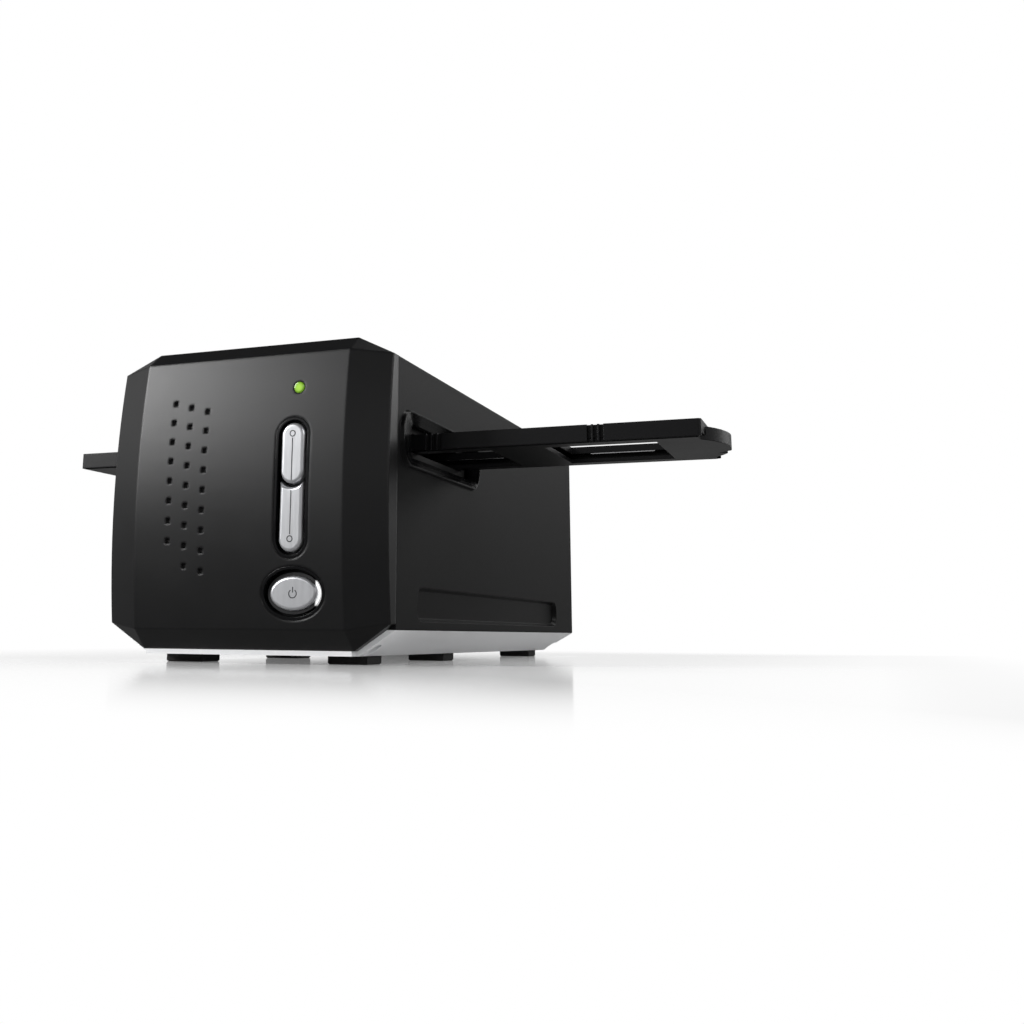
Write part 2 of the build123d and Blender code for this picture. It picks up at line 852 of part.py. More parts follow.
def holder_frame():
    """The holder's upper frame: deep rails all round, with a seat and a window for each slide."""
    foot = film_z + holder_plate
    frame = block((holder_left, holder_right), (holder_near, holder_far), (film_z + holder_gap, holder_top))
    frame = fillet(frame.edges().filter_by(Axis.Z), holder_setback)
    inner = holder_setback - holder_gap
    frame -= block((holder_left + inner, holder_right), (holder_near + inner, holder_far - inner),
                   (film_z, foot))
    for x in bay_centres():
        frame -= block((x - slide_side / 2, x + slide_side / 2),
                       (film_y - slide_side / 2, film_y + slide_side / 2), (foot, foot + slide_thickness))
        frame -= block((x - bay_window / 2, x + bay_window / 2),
                       (film_y - bay_window / 2, film_y + bay_window / 2), (foot, holder_top))
        for notch in range(notch_count):
            step = notch_width + notch_ridge
            left = x + (notch - notch_count / 2) * step + notch_ridge / 2
            frame -= block((left, left + notch_width), (holder_near, holder_near + notch_depth),
                           (film_z, holder_top))
    return frame


def slide_springs():
    """Four thin steel strips that press the slides against the lower plate."""
    strips = []
    for x in bay_centres():
        y = film_y + (bay_window + slide_side) / 4
        top = film_z + holder_plate + slide_thickness
        strips.append(block((x - spring_length / 2, x + spring_length / 2),
                            (y - spring_width / 2, y + spring_width / 2), (top - spring_thickness, top)))
    return Compound(children=strips)


# ---------------------------------------------------------------- chassis
def chassis_posts():
    """Where the tray's posts carry the chassis."""
    inset = chassis_margin
    return [(side * (guide_leg_x - inset), y) for side in (-1, 1)
            for y in (chassis_front + inset, film_y + slide_side, chassis_back - inset)]


def guide_leg_span():
    """The front and back of the legs that carry the film guide."""
    return (holder_near - guide_leg, holder_far + guide_leg)


def chassis():
    """The bent sheet chassis: floor, two end walls for the rods and two legs for the film guide."""
    edge = guide_leg_x + guide_leg
    top = chassis_floor + chassis_sheet
    frame = block((-edge, edge), (chassis_front, chassis_back), (chassis_floor, top))
    wall_top = chassis_floor + end_wall_height
    for y in (chassis_front, chassis_back - chassis_sheet):
        frame += block((-carriage_half - chassis_margin, carriage_half), (y, y + chassis_sheet),
                       (chassis_floor, wall_top))
    for side in (-1, 1):
        x0, x1 = sorted((side * guide_leg_x, side * edge))
        frame += block((x0, x1), guide_leg_span(), (chassis_floor, guide_floor))
    frame += spring_tab()
    for x, y in chassis_posts():
        frame -= post_z(x, y, screw_radius + screw_slack, chassis_floor, top)
    for x in rod_places():
        frame -= post_y(x, rod_z, rod_radius, chassis_front, chassis_back)
    return frame


def chassis_screws():
    """Six screws that hold the chassis to the tray's posts."""
    seat = chassis_floor + chassis_sheet
    return Compound(children=[screw_down(x, y, seat, seat - tray_top_floor - wall / 2)
                              for x, y in chassis_posts()])


def rod_places():
    return (-rod_spacing / 2, rod_spacing / 2)


def guide_rod(x):
    """A ground steel rod along the body that the carriage runs on."""
    return post_y(x, rod_z, rod_radius, chassis_front - rod_rest, chassis_back + rod_rest)


def guide_rod_left():
    return guide_rod(-rod_spacing / 2)


def guide_rod_right():
    return guide_rod(rod_spacing / 2)


# ---------------------------------------------------------------- film guide and lamp
def film_guide():
    """The channel that the holder slides in: a floor with a window and two side rails."""
    near, far = holder_near - holder_gap, holder_far + holder_gap
    front, back = guide_leg_span()
    half = guide_leg_x + guide_leg
    guide = block((-half, half), (front - guide_sheet, back + guide_sheet), (guide_floor, guide_roof))
    guide -= block((-half, half), (near, far), (guide_floor + guide_sheet, guide_roof))
    z = (film_z + holder_top) / 2
    guide -= block((-detent_length / 2, detent_length / 2), (near - detent_pocket, near),
                   (z - detent_height / 2, z + detent_height / 2))
    for x, y in guide_screw_places():
        guide -= post_z(x, y, small_screw_radius + screw_slack, guide_floor, guide_roof)
    return guide - block((-lamp_window / 2, lamp_window / 2),
                         (film_y - lamp_window / 2, film_y + lamp_window / 2),
                         (guide_floor, guide_floor + guide_sheet))


def film_guide_cover():
    """The plate over the channel, which also carries the lamp."""
    front, back = guide_leg_span()
    half = guide_leg_x + guide_leg
    plate = block((-half, half), (front - guide_sheet, back + guide_sheet),
                  (guide_roof, guide_roof + guide_sheet))
    for x, y in guide_screw_places():
        plate -= post_z(x, y, small_screw_radius + screw_slack, guide_roof, guide_roof + guide_sheet)
    return plate - block((-lamp_window / 2, lamp_window / 2),
                         (film_y - lamp_window / 2, film_y + lamp_window / 2),
                         (guide_roof, guide_roof + guide_sheet))


def guide_screw_places():
    """Four places on the channel's two rails."""
    front, back = guide_leg_span()
    x = guide_leg_x - guide_leg
    return [(side * x, y) for side in (-1, 1) for y in (front, back)]


def guide_screws():
    """Four screws down through the cover plate into the channel's rails."""
    seat = guide_roof + guide_sheet
    return Compound(children=[small_screw_down(x, y, seat, guide_roof - guide_floor)
                              for x, y in guide_screw_places()])


def detent_spring():
    """The leaf beside the channel that clicks into a notch for each slide."""
    near = holder_near - holder_gap
    z = (film_z + holder_top) / 2
    leaf = block((-detent_length / 2, detent_length / 2),
                 (near - detent_pocket, near - detent_pocket + spring_thickness),
                 (z - detent_height / 2, z + detent_height / 2))
    nose_y = near - detent_pocket + spring_thickness
    nose = post_z(0, nose_y, detent_nose, z - detent_height / 2, z + detent_height / 2)
    ahead = block((-detent_length, detent_length), (nose_y, holder_near), (0, body_height))
    return leaf + (nose & ahead)


def lamp_space():
    """The x and y of the space inside the lamp housing."""
    half_x, half_y = lamp_width / 2 - lamp_wall, lamp_depth / 2 - lamp_wall
    return (-half_x, half_x), (film_y - half_y, film_y + half_y)


def lamp_housing():
    """The black box over the film window, open below."""
    foot = guide_roof + guide_sheet
    outer = block((-lamp_width / 2, lamp_width / 2), (film_y - lamp_depth / 2, film_y + lamp_depth / 2),
                  (foot, foot + lamp_height))
    return outer - block(*lamp_space(), (foot, foot + lamp_height - lamp_wall))


def lamp_diffuser():
    """The milky sheet that evens the light over the window."""
    x, y = lamp_space()
    foot = guide_roof + guide_sheet
    return block(x, y, (foot, foot + diffuser_thickness))


def lamp_board():
    """The board under the lamp housing's roof."""
    x, y = lamp_space()
    top = guide_roof + guide_sheet + lamp_height - lamp_wall
    return block(x, y, (top - board_thickness, top))


def lamp_leds():
    """Square white light diodes in rows under the lamp board."""
    top = guide_roof + guide_sheet + lamp_height - lamp_wall - board_thickness
    step = lamp_window / led_rows
    diodes = []
    for column in range(led_rows):
        for row in range(led_rows):
            x = (column - (led_rows - 1) / 2) * step
            y = film_y + (row - (led_rows - 1) / 2) * step
            diodes.append(block((x - led_side / 2, x + led_side / 2), (y - led_side / 2, y + led_side / 2),
                                (top - led_side / 2, top)))
    return Compound(children=diodes)


# ---------------------------------------------------------------- optics carriage
def carriage_top():
    return carriage_floor + carriage_height


def optics_carriage():
    """The moulded box that carries mirror, lens and image sensor along the rods."""
    inner = carriage_half - carriage_wall
    box = block((-carriage_half, carriage_half), (carriage_front, carriage_back),
                (carriage_floor, carriage_top()))
    box -= block((-inner, inner), (carriage_front + carriage_wall, carriage_back - carriage_wall),
                 (carriage_floor + carriage_wall, carriage_top()))
    for x in rod_places():
        for y in bush_places():
            box += block((x - rod_radius - 2 * bush_wall, x + rod_radius + 2 * bush_wall), y,
                         (carriage_floor, rod_z + rod_radius + 2 * bush_wall)) & \
                block((-carriage_half, carriage_half), y, (carriage_floor, carriage_top()))
        box -= post_y(x, rod_z, rod_radius + carriage_play, carriage_front, carriage_back)
        for y in bush_places():
            box -= post_y(x, rod_z, rod_radius + bush_wall, *y)
    return box + mirror_seat() + lens_seat() + home_flag()


def home_flag():
    """The thin blade under the carriage that breaks the home sensor's beam."""
    back = chassis_back - chassis_sheet - switch_side / 2
    return block((-flag_thickness / 2, flag_thickness / 2), (carriage_back - bush_length, back),
                 (carriage_floor - switch_side, carriage_floor + carriage_wall))


def bush_places():
    """The front and back of each pair of bushes, at the carriage's two ends."""
    return ((carriage_front, carriage_front + bush_length), (carriage_back - bush_length, carriage_back))


def bushes():
    """Four sleeves that run on the rods."""
    sleeves = []
    for x in rod_places():
        for y0, y1 in bush_places():
            sleeves.append(post_y(x, rod_z, rod_radius + bush_wall, y0, y1)
                           - post_y(x, rod_z, rod_radius + rod_fit, y0, y1))
    return Compound(children=sleeves)


def mirror_y():
    """Where the scan line's light meets the mirror, at rest."""
    return film_y + scan_travel / 2


def tilted(low, high):
    """A strip as long as the mirror, leaning at 45 degrees, between two levels off its middle."""
    strip = Pos(0, (low + high) / 2) * Rectangle(mirror_length, high - low)
    return Pos(mirror_y(), optic_z) * Rot(0, 0, -45) * strip


def mirror():
    return along_x(tilted(-mirror_thickness / 2, mirror_thickness / 2), -rod_inner(), rod_inner())


def rod_inner():
    """Half of the free width between the rods."""
    return rod_spacing / 2 - rod_radius - 2 * bush_wall - carriage_play


def mirror_seat():
    """Two ribs inside the carriage that the mirror lies against."""
    under = tilted(-5 * mirror_thickness / 2, -mirror_thickness / 2)
    box = block((-carriage_half, carriage_half), (carriage_front, carriage_back),
                (carriage_floor, carriage_top()))
    ribs = along_x(under, -rod_inner(), rod_inner()) & box
    return ribs - along_x(under, carriage_wall - rod_inner(), rod_inner() - carriage_wall)


def lens_seat():
    """A cradle across the carriage for the lens barrel."""
    y0, y1 = lens_centre_y - barrel_length / 4, lens_centre_y + barrel_length / 4
    cradle = block((-barrel_radius, barrel_radius), (y0, y1), (carriage_floor, optic_z))
    return cradle - post_y(0, optic_z, barrel_radius, y0, y1)


def lens_barrel():
    """The lens's black tube."""
    y0, y1 = lens_centre_y - barrel_length / 2, lens_centre_y + barrel_length / 2
    tube = post_y(0, optic_z, barrel_radius, y0, y1)
    return tube - post_y(0, optic_z, glass_radius, y0, y1)


def lens_glass():
    """Two glass elements in the tube."""
    near = lens_centre_y - barrel_length / 2 + glass_thickness
    far = lens_centre_y + barrel_length / 2 - 2 * glass_thickness
    return Compound(children=[post_y(0, optic_z, glass_radius, y, y + glass_thickness) for y in (near, far)])


def sensor_board():
    """The upright board across the carriage, against its back bush blocks."""
    back = carriage_back - bush_length
    half = carriage_half - carriage_wall
    return block((-half, half), (back - board_thickness, back),
                 (rod_z + rod_radius + rod_rest, carriage_top() - carriage_wall))


def image_sensor():
    """The line sensor's long ceramic package."""
    back = carriage_back - bush_length - board_thickness
    return block((-sensor_width / 2, sensor_width / 2), (back - sensor_thickness, back),
                 (optic_z - sensor_height / 2, optic_z + sensor_height / 2))


def carriage_lid():
    """The light-tight lid over the carriage, with the scan slit."""
    top = carriage_top()
    lid = block((-carriage_half, carriage_half), (carriage_front, carriage_back),
                (top, top + carriage_wall))
    return lid - block((-slit_half, slit_half),
                       (mirror_y() - scan_slit / 2, mirror_y() + scan_slit / 2), (top, top + carriage_wall))


def lens_clamp():
    """The sheet strap over the lens barrel, screwed to the cradle's level."""
    y0, y1 = lens_centre_y - barrel_length / 8, lens_centre_y + barrel_length / 8
    strap = post_y(0, optic_z, barrel_radius + rod_rest, y0, y1) - post_y(0, optic_z, barrel_radius, y0, y1)
    strap &= block((-body_width, body_width), (y0, y1), (optic_z, body_height))
    for side in (-1, 1):
        x0, x1 = sorted((side * barrel_radius, side * (barrel_radius + rod_rest)))
        strap += block((x0, x1), (y0, y1), (carriage_floor + carriage_wall, optic_z))
    return strap


# ---------------------------------------------------------------- belt drive
def gear_outline(teeth):
    """A spur gear's outline with straight-flanked teeth, a tooth gap wider than the tooth."""
    pitch = tooth_module * teeth / 2
    tip, root = pitch + tooth_head * tooth_module, pitch - tooth_foot * tooth_module
    step = 2 * pi / teeth
    points = []
    for tooth in range(teeth):
        middle = tooth * step
        for share, radius in ((-tooth_root_share, root), (-tooth_tip_share, tip),
                              (tooth_tip_share, tip), (tooth_root_share, root)):
            angle = middle + share * step
            points.append((radius * cos(angle), radius * sin(angle)))
    return polygon(points)


def gear_distance():
    """Between the motor's shaft and the drive axle."""
    return tooth_module * (pinion_teeth + gear_teeth) / 2


def gear_foot():
    return chassis_floor + chassis_sheet + gear_lift


def pulley_foot():
    return gear_foot() + gear_face


def belt_pulley(y, foot):
    """A flanged belt pulley on an upright axle."""
    flange = pulley_radius + belt_thickness + pulley_lip
    pulley = post_z(drive_x, y, pulley_radius, foot, foot + 2 * pulley_flange + pulley_face)
    for z in (foot, foot + pulley_flange + pulley_face):
        pulley += post_z(drive_x, y, flange, z, z + pulley_flange)
    return pulley


def drive_gear():
    """The large gear and the belt pulley above it, moulded in one."""
    foot = gear_foot()
    turned = Rot(0, 0, 90 + 180 / gear_teeth) * gear_outline(gear_teeth)
    gear = along_z(Pos(drive_x, gear_y) * turned, foot, foot + gear_face)
    gear += belt_pulley(gear_y, pulley_foot())
    return gear - post_z(drive_x, gear_y, axle_radius + bearing_gap, foot, pulley_top())


def pulley_top():
    return pulley_foot() + 2 * pulley_flange + pulley_face


def drive_axle():
    """The steel pin that the drive gear turns on."""
    return post_z(drive_x, gear_y, axle_radius, chassis_floor + chassis_sheet, pulley_top() + gear_lift)


def motor_y():
    return gear_y + gear_distance()


def motor_foot():
    return pulley_top() + motor_gap + motor_plate


def motor_pinion():
    """The motor's shaft with its pinion."""
    foot = gear_foot()
    teeth = Rot(0, 0, 90) * gear_outline(pinion_teeth)
    pinion = along_z(Pos(drive_x, motor_y()) * teeth, foot, foot + gear_face)
    return pinion + post_z(drive_x, motor_y(), motor_shaft_radius, foot, motor_foot() - motor_plate)


def stepper_motor():
    """The flat round stepping motor, its shaft pointing down."""
    foot = motor_foot()
    can = post_z(drive_x, motor_y(), motor_radius, foot, foot + motor_height)
    can = fillet(can.edges().filter_by(GeomType.CIRCLE), motor_plate / 2)
    collar = post_z(drive_x, motor_y(), 3 * motor_shaft_radius, foot - motor_plate, foot)
    return can + collar


def motor_bracket():
    """The sheet bridge that carries the motor: a plate on two legs."""
    foot = motor_foot()
    back = motor_y() + motor_radius - motor_plate
    front = motor_y() - motor_radius / 2
    left, right = drive_x - motor_radius, guide_leg_x
    plate = block((left, right), (front, back), (foot - motor_plate, foot))
    for x0, x1 in ((left, left + motor_plate), (right - motor_plate, right)):
        plate += block((x0, x1), (back - motor_radius / 2, back), (chassis_floor + chassis_sheet, foot))
    return plate - post_z(drive_x, motor_y(), 3 * motor_shaft_radius, foot - motor_plate, foot)


def idler_pulley():
    """The loose pulley at the belt's front end."""
    pulley = belt_pulley(idler_y, pulley_foot())
    return pulley - post_z(drive_x, idler_y, axle_radius + bearing_gap, pulley_foot(), pulley_top())


def idler_bracket():
    """The sliding sheet foot that holds the idler's pin."""
    floor = chassis_floor + chassis_sheet
    half = pulley_radius + belt_thickness
    plate = block((drive_x - half, drive_x + half), (idler_y - half, idler_y + 2 * half),
                  (floor, floor + motor_plate))
    pin = post_z(drive_x, idler_y, axle_radius, floor, pulley_top() + gear_lift)
    collar = post_z(drive_x, idler_y, axle_radius + motor_plate, floor, pulley_foot() - bearing_gap)
    hook_y = idler_y + 2 * half
    hook = block((drive_x - motor_plate, drive_x + motor_plate), (hook_y - motor_plate, hook_y),
                 (floor, pulley_foot() - motor_plate))
    return plate + pin + collar + hook


def spring_ends():
    """Where the tension spring hooks on: the idler's foot and a tab farther back."""
    start = idler_y + 2 * (pulley_radius + belt_thickness)
    return start, start + tension_turns * 2 * tension_wire + 4 * tension_coil


def spring_tab():
    """The chassis tab that the tension spring pulls on."""
    floor = chassis_floor + chassis_sheet
    end = spring_ends()[1]
    return block((drive_x - motor_plate, drive_x + motor_plate), (end, end + motor_plate),
                 (floor, pulley_foot() - motor_plate))


def tension_spring():
    """The coil spring that keeps the belt tight."""
    start, end = spring_ends()
    z = (chassis_floor + chassis_sheet + pulley_foot()) / 2
    length = end - start - tension_wire
    path = Helix(pitch=length / tension_turns, height=length, radius=tension_coil - tension_wire)
    section = Plane(origin=path @ 0, z_dir=path % 0) * Circle(tension_wire / 2)
    coil = sweep(section, path=path)
    return Pos(drive_x, start + tension_wire / 2, z) * Rot(-90, 0, 0) * coil


def drive_belt():
    """The closed belt round both pulleys."""
    foot = pulley_foot() + pulley_flange + (pulley_face - belt_width) / 2
    inner_radius = pulley_radius + belt_gap
    length = gear_y - idler_y
    middle = (gear_y + idler_y) / 2
    outer = SlotCenterToCenter(length, 2 * (inner_radius + belt_thickness), rotation=90)
    inner = SlotCenterToCenter(length, 2 * inner_radius, rotation=90)
    return along_z(Pos(drive_x, middle) * (outer - inner), foot, foot + belt_width)


def belt_clamp():
    """The carriage's arm and claw round the belt's near strand."""
    y = (carriage_front + carriage_back) / 2
    half = bush_length / 2
    strand_near = drive_x - pulley_radius - belt_gap - belt_thickness
    strand_far = drive_x - pulley_radius - belt_gap
    belt_foot = pulley_foot() + pulley_flange + (pulley_face - belt_width) / 2
    belt_top = belt_foot + belt_width
    jaw = belt_thickness
    claw = block((strand_near - belt_gap - jaw, strand_far + belt_gap + jaw), (y - half, y + half),
                 (belt_foot + belt_gap, belt_top + belt_gap + jaw))
    claw -= block((strand_near - belt_gap, strand_far + belt_gap), (y - half, y + half),
                  (belt_foot, belt_top + belt_gap))
    arm = block((carriage_half, strand_near - belt_gap), (y - half, y + half),
                (belt_top + belt_gap, belt_top + belt_gap + jaw))
    flange = block((carriage_half, carriage_half + jaw), (y - half, y + half),
                   (belt_top + belt_gap, belt_top + bush_length))
    return claw + arm + flange


def home_sensor():
    """The fork light gate that finds the carriage's home end."""
    floor = chassis_floor + chassis_sheet
    y1 = chassis_back - chassis_sheet
    y0 = y1 - switch_side
    fork = block((-switch_side, switch_side), (y0, y1), (floor, carriage_floor - carriage_wall))
    return fork - block((-board_thickness, board_thickness), (y0, y1),
                        (floor + board_thickness, carriage_floor - carriage_wall))


# ---------------------------------------------------------------- main board, sockets and back
def board_top():
    return main_board_z + board_thickness


def main_board_back():
    return y_back - wall - shell_gap


def standoff_places():
    x = main_board_half - standoff_inset
    return [(side * x, y) for side in (-1, 1)
            for y in (main_board_front + standoff_front_inset, main_board_back() - standoff_back_inset)]


def main_board():
    """The main circuit board, level above the carriage."""
    board = block((-main_board_half, main_board_half), (main_board_front, main_board_back()),
                  (main_board_z, board_top()))
    for x, y in standoff_places():
        board -= post_z(x, y, small_screw_radius + screw_slack, main_board_z, board_top())
    return board


def standoffs():
    """Four posts that hold the main board above the chassis."""
    posts = []
    for x, y in standoff_places():
        post = post_z(x, y, standoff_radius, chassis_floor + chassis_sheet, main_board_z)
        posts.append(post - post_z(x, y, small_screw_radius + screw_slack,
                                   board_top() - standoff_screw, main_board_z))
    return Compound(children=posts)


def main_board_screws():
    """Four screws through the main board into the posts."""
    return Compound(children=[small_screw_down(x, y, board_top(), standoff_screw - screw_slack)
                              for x, y in standoff_places()])


def board_chips():
    """The scan processor, its memory and two drivers on the main board."""
    top = board_top()
    middle = (main_board_front + main_board_back()) / 2
    side = 4 * switch_side
    level = (top, top + board_thickness)
    chips = [block((-side / 2, side / 2), (middle - side / 2, middle + side / 2), level),
             block((side, 1.5 * side), (middle - side / 2, middle + side / 2), level)]
    for step in (-1, 1):
        y = middle + step * side
        chips.append(block((-1.5 * side, -side), (y - side / 4, y + side / 4), level))
    return Compound(children=chips)


def socket_box(x, width, depth, height):
    return block((x - width / 2, x + width / 2), (y_back - depth, y_back),
                 (board_top(), board_top() + height))


def usb_socket():
    """The square data socket: a metal shell round a plastic tongue."""
    shell = socket_box(socket_x, usb_width, usb_depth, usb_height)
    lip = board_thickness / 2
    mouth = block((socket_x - usb_width / 2 + lip, socket_x + usb_width / 2 - lip),
                  (y_back - usb_depth + lip, y_back), (board_top() + lip, board_top() + usb_height - lip))
    middle = board_top() + usb_height / 2
    tongue = block((socket_x - usb_tongue[0] / 2, socket_x + usb_tongue[0] / 2),
                   (y_back - usb_depth, y_back - lip),
                   (middle - usb_tongue[1] / 2, middle + usb_tongue[1] / 2))
    return shell - mouth + tongue


def power_jack():
    """The round power inlet with its centre pin."""
    middle = board_top() + jack_height / 2
    jack = socket_box(jack_x, jack_width, jack_depth, jack_height)
    jack -= post_y(jack_x, middle, jack_bore, y_back - jack_depth + wall, y_back)
    return jack + post_y(jack_x, middle, jack_pin, y_back - jack_depth, y_back - wall / 2)


def rear_panel():
    """The plate that closes the cover's back, with its two socket openings."""
    inset = wall + shell_gap
    outline = casing_section(inset)
    panel = along_y(outline, y_back - wall, y_back)
    panel &= block((-body_width, body_width), (y_front, y_back), (seam_z + shell_gap, body_height))
    for x, width, depth, height in ((socket_x, usb_width, usb_depth, usb_height),
                                    (jack_x, jack_width, jack_depth, jack_height)):
        panel -= offset(socket_box(x, width, depth, height), shell_gap)
    return panel


def sensor_ribbon():
    """The flat cable's fixed fold, from the main board down behind the carriage."""
    y = carriage_back + carriage_play + ribbon_thickness
    return block((-ribbon_width / 2, ribbon_width / 2), (y, y + ribbon_thickness), (rod_z, main_board_z))


def front_ribbon():
    """The flat cable from the main board forward along the left wall to the switch board's plug."""
    x = -guide_leg_x - guide_leg - 2 * ribbon_thickness
    z = (main_board_z - ribbon_width, main_board_z)
    y = y_seam + spigot_length + ribbon_thickness
    left = board_box()[0]
    run = block((x - ribbon_thickness, x), (y, main_board_front + ribbon_width), z)
    front = block((x - ribbon_thickness, left + ribbon_width), (y, y + ribbon_thickness), z)
    plug = block((left, left + ribbon_width), (y_board + board_thickness, y), z)
    return run + front + plug


# ---------------------------------------------------------------- every piece, by its name
pieces = {
    "base_tray": base_tray,
    "top_cover": top_cover,
    "rear_panel": rear_panel,
    "front_bezel": front_bezel,
    "rubber_feet": rubber_feet,
    "case_screws": case_screws,
    "button_surround": button_surround,
    "scan_button_upper": scan_button_upper,
    "scan_button_lower": scan_button_lower,
    "power_surround": power_surround,
    "power_button": power_button,
    "power_light_ring": power_light_ring,
    "status_lens": status_lens,
    "button_board": button_board,
    "board_screws": board_screws,
    "tact_switches": tact_switches,
    "front_leds": front_leds,
    "holder_plate": holder_lower_plate,
    "holder_frame": holder_frame,
    "slide_springs": slide_springs,
    "chassis": chassis,
    "chassis_screws": chassis_screws,
    "film_guide": film_guide,
    "film_guide_cover": film_guide_cover,
    "guide_screws": guide_screws,
    "detent_spring": detent_spring,
    "lamp_housing": lamp_housing,
    "lamp_diffuser": lamp_diffuser,
    "lamp_board": lamp_board,
    "lamp_leds": lamp_leds,
    "guide_rod_left": guide_rod_left,
    "guide_rod_right": guide_rod_right,
    "optics_carriage": optics_carriage,
    "carriage_bushes": bushes,
    "mirror": mirror,
    "lens_barrel": lens_barrel,
    "lens_glass": lens_glass,
    "lens_clamp": lens_clamp,
    "sensor_board": sensor_board,
    "image_sensor": image_sensor,
    "carriage_lid": carriage_lid,
    "belt_clamp": belt_clamp,
    "drive_gear": drive_gear,
    "drive_axle": drive_axle,
    "stepper_motor": stepper_motor,
    "motor_pinion": motor_pinion,
    "motor_bracket": motor_bracket,
    "idler_pulley": idler_pulley,
    "idler_bracket": idler_bracket,
    "tension_spring": tension_spring,
    "drive_belt": drive_belt,
    "home_sensor": home_sensor,
    "main_board": main_board,
    "board_chips": board_chips,
    "standoffs": standoffs,
    "main_board_screws": main_board_screws,
    "usb_socket": usb_socket,
    "power_jack": power_jack,
    "sensor_ribbon": sensor_ribbon,
    "front_ribbon": front_ribbon,
}

os.makedirs("parts", exist_ok=True)
for name, make in pieces.items():
    export_step(make(), f"parts/{name}.step")
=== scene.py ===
"""A desktop scanner for 35 mm film and slides, dressed for a studio picture.

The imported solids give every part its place. This script adds the camera, the light, the finishes
and the small inlaid signs on the buttons. Lengths are in metres.
"""
import bpy
import bmesh
from math import pi, tau
from mathutils import Matrix, Vector
from mathutils.bvhtree import BVHTree


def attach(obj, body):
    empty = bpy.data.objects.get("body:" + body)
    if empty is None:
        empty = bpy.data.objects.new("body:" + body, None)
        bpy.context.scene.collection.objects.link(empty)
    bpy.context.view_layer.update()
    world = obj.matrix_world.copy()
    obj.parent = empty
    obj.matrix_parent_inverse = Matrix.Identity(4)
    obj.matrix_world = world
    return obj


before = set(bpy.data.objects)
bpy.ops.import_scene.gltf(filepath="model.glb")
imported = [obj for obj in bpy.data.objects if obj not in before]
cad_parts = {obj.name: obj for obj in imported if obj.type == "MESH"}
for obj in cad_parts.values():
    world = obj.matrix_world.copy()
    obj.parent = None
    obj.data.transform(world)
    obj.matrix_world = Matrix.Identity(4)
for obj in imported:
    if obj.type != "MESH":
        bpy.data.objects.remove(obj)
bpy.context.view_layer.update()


# ------------------------------------------------------------------ camera
# A short telephoto lens almost on the table, turned up and to the left, with the lens shifted so
# that the scanner stands a little left of the middle.
lens = bpy.data.cameras.new("camera")
lens.sensor_width = 36.0
lens.lens = 40.1715
lens.shift_x = 0.08984375
lens.shift_y = -0.109375
lens.clip_start = 0.01
lens.clip_end = 60.0
camera = bpy.data.objects.new("camera", lens)
to_right = Vector((0.931262, 0.364253, 0.0084))
upwards = Vector((0.065399, -0.189792, 0.979644))
forwards = Vector((-0.358433, 0.911756, 0.200568))
turned = Matrix((to_right, upwards, -forwards)).transposed().to_4x4()
camera.matrix_world = Matrix.Translation((0.21676, -0.5022, 0.01129)) @ turned
bpy.context.scene.collection.objects.link(camera)
bpy.context.scene.camera = camera
bpy.context.scene.view_settings.view_transform = "Standard"


# ------------------------------------------------------------------ nodes of a finish
# Every finish is a plastic, metal or glass with its own colour, gloss and grain. Its nodes are
# written as sums: a Wire is one node's output, and adding or multiplying wires adds Math nodes.
class Wire:
    def __init__(self, nodes, socket):
        self.nodes = nodes
        self.socket = socket

    def maths(self, operation, first, second=0.0):
        return self.nodes.node("ShaderNodeMath", {"operation": operation}, {0: first, 1: second})

    def __add__(self, other):
        return self.maths("ADD", self, other)

    def __mul__(self, other):
        return self.maths("MULTIPLY", self, other)

    def __sub__(self, other):
        return self.maths("SUBTRACT", self, other)

    def __rsub__(self, other):
        return self.maths("SUBTRACT", other, self)

    def __gt__(self, other):
        return self.maths("GREATER_THAN", self, other)

    def __lt__(self, other):
        return self.maths("LESS_THAN", self, other)

    def __abs__(self):
        return self.maths("ABSOLUTE", self)

    __radd__ = __add__
    __rmul__ = __mul__

    def greatest(self, other):
        return self.maths("MAXIMUM", self, other)

    def within(self, low, high):
        return (self > low) * (self < high)


class Nodes:
    """The nodes of one finish or of the room. Its patterns start from the coordinates at place."""

    def __init__(self, tree, coordinates):
        self.tree = tree
        self.place = self.node("ShaderNodeTexCoord", output=coordinates)

    def join(self, value, socket):
        if isinstance(value, Wire):
            self.tree.links.new(value.socket, socket)
        else:
            socket.default_value = value

    def node(self, kind, settings=None, sockets=None, output=0):
        """Adds one node: its settings or ramp stops first, then the values and links it takes."""
        made = self.tree.nodes.new(kind)
        for word, value in (settings or {}).items():
            if word == "stops":
                self.set_stops(made.color_ramp, value)
            else:
                setattr(made, word, value)
        for place, value in (sockets or {}).items():
            self.join(value, made.inputs[place])
        return Wire(self, made.outputs[output])

    def set_stops(self, ramp, stops):
        while len(ramp.elements) < len(stops):
            ramp.elements.new(1.0)
        for stop, (position, grey) in zip(ramp.elements, stops):
            stop.position = position
            stop.color = (grey, grey, grey, 1.0)

    def axis(self, letter):
        return self.node("ShaderNodeSeparateXYZ", {}, {"Vector": self.place}, output=letter)

    def ray(self, kind):
        return self.node("ShaderNodeLightPath", output="Is " + kind + " Ray")

    def ranged(self, value, low, high, at_low, at_high, **settings):
        ends = {"From Min": low, "From Max": high, "To Min": at_low, "To Max": at_high}
        return self.node("ShaderNodeMapRange", settings, {"Value": value, **ends})

    def mix_into(self, last_node, amount, first, second):
        mixed = self.node("ShaderNodeMixShader", {}, {0: amount, 1: first, 2: second})
        self.join(mixed, self.tree.nodes[last_node].inputs["Surface"])


